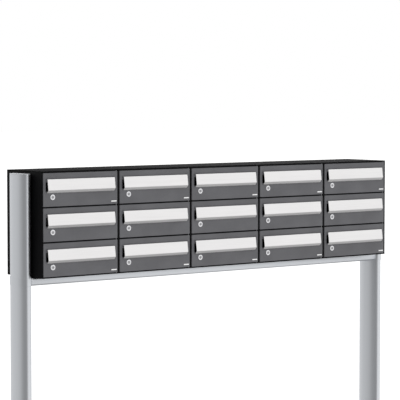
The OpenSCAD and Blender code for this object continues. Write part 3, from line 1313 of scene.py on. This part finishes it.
@dataclass
class Lock:
    """A cam lock: a still housing in the door, and a plug that turns with its cam."""

    rosette: float = 12 * MM
    rosette_lift: float = 2.6 * MM
    barrel: float = 9.4 * MM
    barrel_length: float = 14 * MM
    bore: float = 6.05 * MM
    plug: float = 6.0 * MM
    plug_lift: float = 3.2 * MM
    face_rim: float = 7.6 * MM
    face_dip: float = 0.5 * MM
    seat: float = 0.1 * MM
    threads: int = 9
    thread_height: float = 0.55 * MM
    nut: float = 12.7 * MM
    nut_gap: float = 1.6 * MM
    nut_height: float = 3 * MM
    cam_depth: float = 17 * MM
    cam_thickness: float = 2 * MM
    cam_length: float = 31 * MM
    cam_half_width: float = 6 * MM
    cam_hub: float = 8 * MM
    stud: float = 3 * MM
    stud_length: float = 6 * MM
    washer: float = 5.2 * MM
    washer_height: float = 0.8 * MM
    cam_nut: float = 5.8 * MM
    cam_nut_end: float = 4 * MM
    stud_threads: int = 6
    stud_pitch: float = 0.9 * MM
    nut_edge: float = 0.3 * MM
    plug_edge: float = 0.35 * MM
    cam_edge: float = 0.25 * MM

    def housing(self, at: Berth) -> bpy.types.Mesh:
        """Makes the rosette, the barrel with its thread, and the nut.

        Args:
            at: The letterbox that it is made for.

        Returns:
            The housing's mesh.
        """
        centre, front = (at.lock.x, at.lock.z), at.front
        draft = Draft()
        lift = self.rosette_lift
        profile = [
            (front - self.seat, self.rosette), (front - lift * 0.45, self.rosette),
            (front - lift * 0.8, self.rosette - 0.6 * MM), (front - lift, self.rosette - 1.7 * MM),
            (front - lift, self.face_rim), (front - lift + self.face_dip, self.face_rim - 0.6 * MM),
            (front - lift + self.face_dip, self.bore),
            (front + self.barrel_length, self.bore),
            (front + self.barrel_length, self.barrel - 0.6 * MM),
        ]
        pitch = (self.barrel_length - 1.0 * MM) / self.threads
        for k in range(self.threads):
            crest = front + self.barrel_length - 0.5 * MM - k * pitch
            valley = (crest - pitch / 2, self.barrel - self.thread_height)
            profile += [(crest, self.barrel), valley]
        profile += [(front - self.seat, self.barrel)]
        draft.turned(Axis.Y, centre, profile, 48, hollow=True)
        body = smoothed(draft.mesh("housing"), 30.0)
        ring = Draft()
        hexagon = circle(centre, self.nut, 6)
        start = front + self.nut_gap
        bore = circle(centre, self.barrel - 0.3 * MM, 36)
        ring.prism(Axis.Y, start, start + self.nut_height, hexagon, [bore])
        return joined("lock_housing", [body, softened(ring.mesh("nut"), self.nut_edge)])

    def keyway(self, at: Berth) -> Outline:
        """The key slot's outline: an upright slit with two side wards.

        Args:
            at: The letterbox that the lock is made for.

        Returns:
            The outline as (x, z).
        """
        half, ward, tall = 0.75 * MM, 0.5 * MM, 3.4 * MM
        right = [(half, -tall), (half, -1.4 * MM), (half + ward, -1.0 * MM), (half + ward, 0.2 * MM),
                 (half, 0.6 * MM), (half, tall)]
        left = [(-half, tall), (-half, 1.7 * MM), (-half + ward, 1.2 * MM), (-half + ward, 0.4 * MM),
                (-half, 0.0), (-half, -tall)]
        return [(at.lock.x + x, at.lock.z + z) for x, z in right + left]

    def plug_and_cam(self, at: Berth) -> bpy.types.Mesh:
        """Makes the plug with its key slot, and the cam, washer and nut behind it.

        Args:
            at: The letterbox that it is made for.

        Returns:
            The moving part's mesh.
        """
        centre, front = (at.lock.x, at.lock.z), at.front
        face = Draft()
        face.prism(
            Axis.Y, front - self.plug_lift, front - 0.2 * MM, circle(centre, self.plug, 40),
            [self.keyway(at)],
        )
        body = Draft()
        body.turned(
            Axis.Y, centre,
            [(front - 0.3 * MM, self.plug), (front + self.cam_depth, self.plug)], 40,
        )
        back = front + self.cam_depth + self.cam_thickness
        nut_start = back + self.washer_height
        body.turned(Axis.Y, centre, [(back, self.washer), (nut_start, self.washer)], 32)
        profile = [(back, self.stud - 0.5 * MM)]
        for k in range(self.stud_threads):
            crest, valley = back + (1 + k) * self.stud_pitch, back + (1.45 + k) * self.stud_pitch
            profile += [(crest, self.stud), (valley, self.stud - 0.4 * MM)]
        profile[-1] = (back + self.stud_length, self.stud - 0.6 * MM)
        body.turned(Axis.Y, centre, profile, 24)
        cam = Draft()
        reach = self.cam_length - self.cam_half_width
        tip = arc((centre[0], centre[1] - reach), self.cam_half_width, 180.0, 360.0, 14)
        waist = 48.0
        shoulder = arc(centre, self.cam_hub, -waist, 180.0 + waist, 30)
        cam.prism(Axis.Y, front + self.cam_depth, back, tip + shoulder)
        cam.prism(
            Axis.Y, nut_start, back + self.cam_nut_end, circle(centre, self.cam_nut, 6),
            [circle(centre, self.stud - 0.6 * MM, 20)],
        )
        return joined(
            "plug",
            [softened(face.mesh("face"), self.plug_edge), smoothed(body.mesh("body")),
             softened(cam.mesh("cam"), self.cam_edge)],
        )


@dataclass
class Badge:
    """A small blank plate at a door's lower right corner."""

    width: float = 28 * MM
    height: float = 5 * MM
    thickness: float = 0.6 * MM
    from_right: float = 5.5 * MM
    from_bottom: float = 10 * MM
    corner: float = 0.8 * MM
    edge: float = 0.2 * MM

    def build(self, at: Berth) -> bpy.types.Mesh:
        """Makes the plate.

        Args:
            at: The letterbox that it is made for.

        Returns:
            The plate's mesh.
        """
        x1 = at.high.x - self.from_right
        z0 = at.low.z + self.from_bottom
        outline = rounded_rect((x1 - self.width, z0), (x1, z0 + self.height), self.corner)
        draft = Draft()
        draft.prism(Axis.Y, at.front - self.thickness, at.front + 0.2 * MM, outline)
        return softened(draft.mesh("badge"), self.edge)


@dataclass
class Fronts:
    """All doors with their flaps, locks and badges."""

    rows: int
    columns: int
    shop: Paintshop
    recipe: ExtrusionRecipe
    berths: list[Berth] = field(init=False)

    def __post_init__(self) -> None:
        """Reads the places of all letterboxes, row by row."""
        places = [(r, c) for r in range(1, self.rows + 1) for c in range(1, self.columns + 1)]
        self.berths = [Berth.read(row, column) for row, column in places]

    def build(self) -> None:
        """Makes each kind of piece once and sets a copy in every letterbox; badges go only in the
        top and bottom rows.
        """
        first = self.berths[0]
        lock = Lock()
        kinds: list[tuple[str, str, bpy.types.Mesh, Finish, bool]] = [
            ("door_pan", "door", Door().build(first), Finish.DOOR, True),
            ("weather_flap", "flap", Flap().build(first, self.recipe, self.shop), Finish.FLAP, True),
            ("lock_plug", "lock", lock.plug_and_cam(first), Finish.PLUG, True),
            ("lock_housing", "door", lock.housing(first), Finish.LOCK, False),
            ("blank_badge", "door", Badge().build(first), Finish.BADGE, False),
        ]
        for kind, body, model, finish, stands_for in kinds:
            for at in self.berths:
                if kind == "blank_badge" and at.row not in (1, self.rows):
                    continue
                node = f"{body}_{at.label}"
                mesh = moved(model, kind, first.offset(at))
                nodes = [node] if stands_for else []
                self.shop.piece(f"{kind}_{at.label}", mesh, finish, node, *nodes)


# ---- the still parts -------------------------------------------------------------


@dataclass
class Carcass:
    """The black sheet body: walls, shelves, floor, top, back, roof and lock strikers."""

    shop: Paintshop
    repeat: RepeatRecipe
    berths: Sequence[Berth]
    body: str = "carcass"
    sheets: tuple[str, ...] = (
        "side_panels", "dividers", "shelves", "floor_panel", "top_panel", "back_panel", "roof"
    )
    sheet: float = 1.5 * MM
    edge: float = 0.35 * MM
    roof_edge: float = 0.6 * MM
    tab_length: float = 28.5 * MM
    tab_half: float = 10 * MM
    tab_corner: float = 3 * MM
    tab_edge: float = 0.3 * MM
    rod: float = 2 * MM
    rod_head: float = 3.5 * MM
    rod_head_height: float = 1.5 * MM
    strip_half: float = 6 * MM
    back_screw_x: float = 120 * MM
    floor_screw_x: float = 110 * MM
    bolt_rise: float = 30 * MM
    bolt_grip: float = 4.5 * MM
    bolt_corner: float = 7.5 * MM
    bolt_head: float = 5.3 * MM
    bolt_nut: float = 6.5 * MM
    bolt_end: float = 15 * MM
    bolt_edge: float = 0.5 * MM

    def build(self) -> None:
        """Makes every sheet, the strikers, the hinge rods and the fasteners."""
        for node in self.sheets:
            edge = self.roof_edge if node == "roof" else self.edge
            mesh = softened(cad_copy(node), edge)
            self.shop.piece(f"{node}_sheet", mesh, Finish.FRAME, self.body, node)
        self.strikers()
        self.rods()
        self.fasteners()

    def strikers(self) -> None:
        """Sets a tab with round free corners on the left wall of every letterbox."""
        low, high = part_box("lock_strikers")
        first = self.berths[0]
        outline = rounded_rect(
            (low.x, -self.tab_half), (low.x + self.tab_length, self.tab_half), self.tab_corner
        )
        tab = Draft()
        tab.prism(Axis.Y, 0.0, high.y - low.y, [(x - first.lock.x, z) for x, z in outline])
        spots = [Vector((b.lock.x, low.y, b.lock.z)) for b in self.berths]
        mesh = self.repeat.set_out(
            softened(tab.mesh("tab"), self.tab_edge), spots, Finish.FRAME, self.shop
        )
        self.shop.piece("striker_tabs", mesh, Finish.FRAME, self.body, "lock_strikers")

    def rods(self) -> None:
        """Sets a headed rod down every column."""
        low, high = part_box("door_hinge_pins")
        length = high.z - low.z
        seat = length - self.rod_head_height
        profile = [(0.0, self.rod - 0.3 * MM), (0.3 * MM, self.rod), (seat, self.rod),
                   (seat, self.rod_head), (length - 0.4 * MM, self.rod_head),
                   (length, self.rod_head - 0.6 * MM)]
        rod = Draft()
        rod.turned(Axis.Z, (0.0, 0.0), profile, 28)
        spots = [Vector((b.rod.x, b.rod.y, low.z)) for b in self.berths if b.row == 1]
        mesh = self.repeat.set_out(smoothed(rod.mesh("rod")), spots, Finish.ZINC, self.shop)
        self.shop.piece("hinge_rods", mesh, Finish.ZINC, self.body, "door_hinge_pins")

    def screw(self, radius: float, head: float, length: float) -> bpy.types.Mesh:
        """A pan head screw with a round socket, its head's seat at zero.

        Args:
            radius: The shank's radius.
            head: The head's height.
            length: The shank's length under the head.

        Returns:
            The screw's mesh.
        """
        draft = Draft()
        wide = 2 * radius
        dome = [(0.0, wide), (head * 0.35, wide * 0.99), (head * 0.7, wide * 0.9),
                (head * 0.92, wide * 0.72), (head, wide * 0.55)]
        socket = [(head, radius * 0.75), (head * 0.35, radius * 0.7)]
        draft.turned(Axis.Z, (0.0, 0.0), dome + socket, 24)
        shank = [(-length, radius * 0.6), (-length + radius, radius), (0.2 * MM, radius)]
        draft.turned(Axis.Z, (0.0, 0.0), shank, 20)
        return smoothed(draft.mesh("screw"), 40.0)

    def bolt(self, radius: float, grip: float) -> bpy.types.Mesh:
        """A hexagon bolt with its nut, the head's seat at zero and the shank along Z.

        Args:
            radius: The shank's radius.
            grip: How thick the sheets are that it holds.

        Returns:
            The bolt's mesh.
        """
        middle = (0.0, 0.0)
        hexagon = circle(middle, self.bolt_corner, 6)
        ends = Draft()
        ends.prism(Axis.Z, -self.bolt_head, 0.0, hexagon)
        bore = circle(middle, radius - 0.2 * MM, 24)
        ends.prism(Axis.Z, grip, grip + self.bolt_nut, hexagon, [bore])
        shank = Draft()
        end = grip + self.bolt_end
        profile = [(-0.2 * MM, radius), (end - MM, radius), (end, radius - MM)]
        shank.turned(Axis.Z, middle, profile, 24)
        return joined(
            "bolt", [softened(ends.mesh("ends"), self.bolt_edge), smoothed(shank.mesh("shank"))]
        )

    def fasteners(self) -> None:
        """Sets the back panel's screws, the beam's screws and the posts' bolts."""
        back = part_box("back_panel")
        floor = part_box("floor_panel")
        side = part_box("side_panels")
        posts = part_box("posts")
        first, last = self.berths[0], self.berths[-1]
        columns = sum(b.row == 1 for b in self.berths)
        pitch = self.berths[1].rod.x - first.rod.x
        middles = [side[0].x + pitch * (k + 0.5) for k in range(columns)]
        inset = self.sheet + self.strip_half
        rows = (back[1].z - inset, back[0].z + inset)
        post_y = (posts[0].y + posts[1].y) / 2
        on_back = [Vector((x + way * self.back_screw_x, back[1].y, z))
                   for x in middles for way in (-1, 1) for z in rows]
        on_floor = [Vector((x + way * self.floor_screw_x, post_y, floor[0].z + self.sheet))
                    for x in middles for way in (-1, 1)]
        made = [
            self.repeat.set_out(
                self.screw(2 * MM, 2.4 * MM, 7 * MM), on_back, Finish.ZINC, self.shop,
                aim=(-QUARTER, 0.0, 0.0), spin=2.0, seed=11,
            ),
            self.repeat.set_out(
                self.screw(3 * MM, 3.3 * MM, 12 * MM), on_floor, Finish.ZINC, self.shop,
                spin=2.0, seed=12,
            ),
        ]
        half_pitch = (first.high.z - self.berths[columns].high.z) / 2
        door_gap = (2 * half_pitch - (first.high.z - first.low.z)) / 2
        heights = [b.high.z + door_gap - half_pitch for b in (first, last)]
        for way, x in ((-1, side[0].x + self.sheet), (1, side[1].x - self.sheet)):
            spots = [Vector((x, post_y, z + d)) for d in (-self.bolt_rise, self.bolt_rise)
                     for z in heights]
            made.append(
                self.repeat.set_out(
                    self.bolt(4 * MM, self.bolt_grip), spots, Finish.ZINC, self.shop,
                    aim=(0.0, way * QUARTER, 0.0), spin=1.0, seed=13,
                )
            )
        mesh = joined("fasteners", made)
        self.shop.piece("screws_and_bolts", mesh, Finish.ZINC, self.body, "fasteners")


@dataclass
class Stand:
    """The aluminium stand: two posts with caps, feet and welds, the beam and its collars."""

    shop: Paintshop
    extrude: ExtrusionRecipe
    weld: WeldRecipe
    body: str = "carcass"
    wall: float = 3 * MM
    foot_round: float = 12 * MM
    anchor: float = 7 * MM
    anchor_x: float = 54 * MM
    anchor_y: float = 88 * MM
    bead: float = 2.2 * MM
    bead_step: float = 1.9 * MM
    collar: float = 2 * MM
    lid: float = 3 * MM
    plug_gap: float = 0.2 * MM
    sawn_edge: float = 0.3 * MM
    collar_edge: float = 0.5 * MM
    foot_edge: float = 0.8 * MM
    lid_edge: float = 0.9 * MM

    def __post_init__(self) -> None:
        """Reads the posts' places and section."""
        low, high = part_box("posts")
        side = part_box("side_panels")
        self.post_low, self.post_high = low, high
        self.width = side[0].x - low.x
        self.depth = high.y - low.y
        self.y = (low.y + high.y) / 2
        self.xs = (low.x + self.width / 2, high.x - self.width / 2)

    def upright(self, name: str, node: str, inner: float, outer: float, edge: float) -> None:
        """Draws an oval part at both posts and makes one piece of the two.

        Args:
            name: The piece's name.
            node: The CAD node that gives its height and that it stands for.
            inner: How far its hole lies inside the posts' outline.
            outer: How far its outline stands outside the posts' outline.
            edge: How far its edges are rounded.
        """
        low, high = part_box(node)
        made = []
        for x in self.xs:
            centre = (x, self.y)
            outlines = [oval(centre, self.width + 2 * outer, self.depth + 2 * outer)]
            outlines.append(oval(centre, self.width - 2 * inner, self.depth - 2 * inner))
            start = Vector((0.0, 0.0, low.z))
            made.append(
                self.extrude.draw(outlines, Axis.Z, start, high.z - low.z, Finish.POST, self.shop)
            )
        mesh = softened(joined(name, made), edge)
        self.shop.piece(name, mesh, Finish.POST, self.body, node)

    def beam(self) -> None:
        """Dresses the beam, whose ends are cut to the posts' outline."""
        mesh = softened(cad_copy("support_beam"), self.sawn_edge)
        self.shop.piece("beam_profile", mesh, Finish.BEAM, self.body, "support_beam")

    def feet(self) -> None:
        """Cuts the two foot plates with their anchor holes."""
        low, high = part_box("foot_plates")
        made = []
        half = (high.y - low.y) / 2
        reach = self.xs[0] - low.x
        for x in self.xs:
            outline = rounded_rect((x - reach, self.y - half), (x + reach, self.y + half),
                                   self.foot_round, 8)
            holes = [circle((x + sx * self.anchor_x, self.y + sy * self.anchor_y), self.anchor, 32)
                     for sx in (-1, 1) for sy in (-1, 1)]
            start = Vector((0.0, 0.0, low.z))
            made.append(
                self.extrude.draw([outline, *holes], Axis.Z, start, high.z - low.z, Finish.POST,
                                  self.shop)
            )
        mesh = softened(joined("feet", made), self.foot_edge)
        self.shop.piece("foot_plates_cut", mesh, Finish.POST, self.body, "foot_plates")

    def welds(self) -> None:
        """Lays a bead where each post meets its foot."""
        lines = outline_mesh([oval((x, self.y), self.width, self.depth) for x in self.xs])
        lines.transform(Matrix.Translation((0.0, 0.0, self.post_low.z)))
        mesh = self.weld.run(
            lines, Bead=self.bead, Step=self.bead_step, Finish=self.shop.made[Finish.WELD]
        )
        self.shop.piece("foot_welds", smoothed(mesh, 60.0), Finish.WELD, self.body)

    def cap(self) -> None:
        """Makes the two caps: a lid with a round edge and a plug inside the post."""
        low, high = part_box("post_caps")
        seam = high.z - self.lid
        parts = ((0.0, seam, high.z), (self.wall + self.plug_gap, low.z, seam + 0.1 * MM))
        made = []
        for x in self.xs:
            for inset, start, end in parts:
                outline = oval((x, self.y), self.width - 2 * inset, self.depth - 2 * inset)
                made.append(
                    self.extrude.draw([outline], Axis.Z, Vector((0.0, 0.0, start)), end - start,
                                      Finish.POST, self.shop)
                )
        mesh = softened(joined("caps", made), self.lid_edge, 3)
        self.shop.piece("post_lids", mesh, Finish.POST, self.body, "post_caps")

    def build(self) -> None:
        """Makes the whole stand."""
        self.upright("post_tubes", "posts", self.wall, 0.0, self.sawn_edge)
        self.upright("beam_end_collars", "beam_collars", 0.0, self.collar, self.collar_edge)
        self.cap()
        self.feet()
        self.beam()
        self.welds()


# ---- the studio ------------------------------------------------------------------


@dataclass(frozen=True)
class SoftBox:
    """A broad soft light far away: where it lies, how it fades out, and its strength."""

    aim: Triple
    edge: float
    core: float
    strength: float


@dataclass
class Studio:
    """A pale floor, soft light from all round, and the camera."""

    boxes: tuple[SoftBox, ...] = (
        SoftBox((0.62, -0.76, 0.2), 0.15, 0.9, 0.66),
        SoftBox((0.25, 0.97, 0.0), -0.1, 0.97, 0.5),
        SoftBox((0.0, 0.0, 1.0), 0.3, 0.95, 0.44),
    )
    fill: float = 0.36
    white: tuple[float, float, float, float] = (1.0, 1.0, 1.0, 1.0)
    lens: float = 177.5
    yaw: float = 38.83
    pitch: float = 3.28
    stand_off: Vector = Vector((-4.554, -6.690, 0.350))
    floor_size: float = 120.0
    floor_glow: float = 0.42
    floor_grey: float = 0.9
    floor_gap: float = 0.2 * MM
    sensor: float = 36.0
    sight: float = 300.0

    def camera(self) -> None:
        """Sets the camera to the left of the fronts, a little above the roof."""
        data = bpy.data.cameras.new("camera")
        data.lens = self.lens
        data.sensor_width = self.sensor
        data.clip_end = self.sight
        thing = bpy.data.objects.new("camera", data)
        corner = Vector((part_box("side_panels")[0].x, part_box("side_panels")[0].y,
                         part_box("roof")[0].z))
        thing.location = corner + self.stand_off
        thing.rotation_euler = (math.radians(90.0 - self.pitch), 0.0, math.radians(-self.yaw))
        bpy.context.scene.collection.objects.link(thing)
        bpy.context.scene.camera = thing

    def floor(self) -> None:
        """Lays a large white floor under the feet."""
        shader = Shader("studio_floor")
        grey = (*[self.floor_grey] * 3, 1.0)
        shader.constant(Base_Color=grey, Roughness=0.9, Specular_IOR_Level=0.0,
                        Emission_Color=self.white, Emission_Strength=self.floor_glow)
        half = self.floor_size / 2
        mesh = bpy.data.meshes.new("floor")
        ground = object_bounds()[0].z - self.floor_gap
        corners = [(-half, -half, ground), (half, -half, ground), (half, half, ground),
                   (-half, half, ground)]
        mesh.from_pydata(corners, [], [(0, 1, 2, 3)])
        mesh.materials.append(shader.material)
        thing = bpy.data.objects.new("floor", mesh)
        thing.visible_glossy = False
        bpy.context.scene.collection.objects.link(thing)
        thing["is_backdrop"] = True

    def sky(self) -> None:
        """Lights the room softly, brighter from the front right, the back and above."""
        world = bpy.data.worlds.new("room")
        world.use_nodes = True
        bpy.context.scene.world = world
        tree = world.node_tree
        out = next(n for n in tree.nodes if n.type == "OUTPUT_WORLD")
        light = next(n for n in tree.nodes if n.type == "BACKGROUND")
        way = tree.nodes.new("ShaderNodeTexCoord").outputs["Generated"]
        total = None
        for box in self.boxes:
            dot = tree.nodes.new("ShaderNodeVectorMath")
            dot.operation = "DOT_PRODUCT"
            dot.inputs[1].default_value = Vector(box.aim).normalized()
            tree.links.new(way, dot.inputs[0])
            soft = tree.nodes.new("ShaderNodeMapRange")
            soft.interpolation_type = "SMOOTHSTEP"
            soft.inputs["From Min"].default_value = box.edge
            soft.inputs["From Max"].default_value = box.core
            soft.inputs["To Max"].default_value = box.strength
            tree.links.new(dot.outputs["Value"], soft.inputs["Value"])
            if total is None:
                total = soft.outputs["Result"]
                continue
            add = tree.nodes.new("ShaderNodeMath")
            tree.links.new(total, add.inputs[0])
            tree.links.new(soft.outputs["Result"], add.inputs[1])
            total = add.outputs[0]
        fill = tree.nodes.new("ShaderNodeMath")
        fill.inputs[1].default_value = self.fill
        tree.links.new(total, fill.inputs[0])
        tree.links.new(fill.outputs[0], light.inputs["Strength"])
        light.inputs["Color"].default_value = self.white
        backdrop = tree.nodes.new("ShaderNodeBackground")
        backdrop.inputs["Color"].default_value = self.white
        seen = tree.nodes.new("ShaderNodeLightPath").outputs["Is Camera Ray"]
        mix = tree.nodes.new("ShaderNodeMixShader")
        tree.links.new(seen, mix.inputs["Fac"])
        tree.links.new(light.outputs[0], mix.inputs[1])
        tree.links.new(backdrop.outputs[0], mix.inputs[2])
        tree.links.new(mix.outputs[0], out.inputs["Surface"])

    def build(self) -> None:
        """Sets up camera, floor and light."""
        bpy.context.scene.view_settings.view_transform = "Standard"
        self.camera()
        self.floor()
        self.sky()


def main() -> None:
    """Builds every sub-assembly in order."""
    logging.basicConfig(level=logging.INFO, format="%(name)s: %(message)s")
    Studio().build()
    shop = Paintshop()
    extrude, repeat, weld = ExtrusionRecipe(), RepeatRecipe(), WeldRecipe()
    labels = [b for b in frame["bodies"] if b.startswith("door_r")]
    rows = max(int(b.split("_r")[1].split("c")[0]) for b in labels)
    columns = max(int(b.rsplit("c", 1)[1]) for b in labels)
    fronts = Fronts(rows, columns, shop, extrude)
    fronts.build()
    Carcass(shop, repeat, fronts.berths).build()
    Stand(shop, extrude, weld).build()


if __name__ == "__main__":
    main()
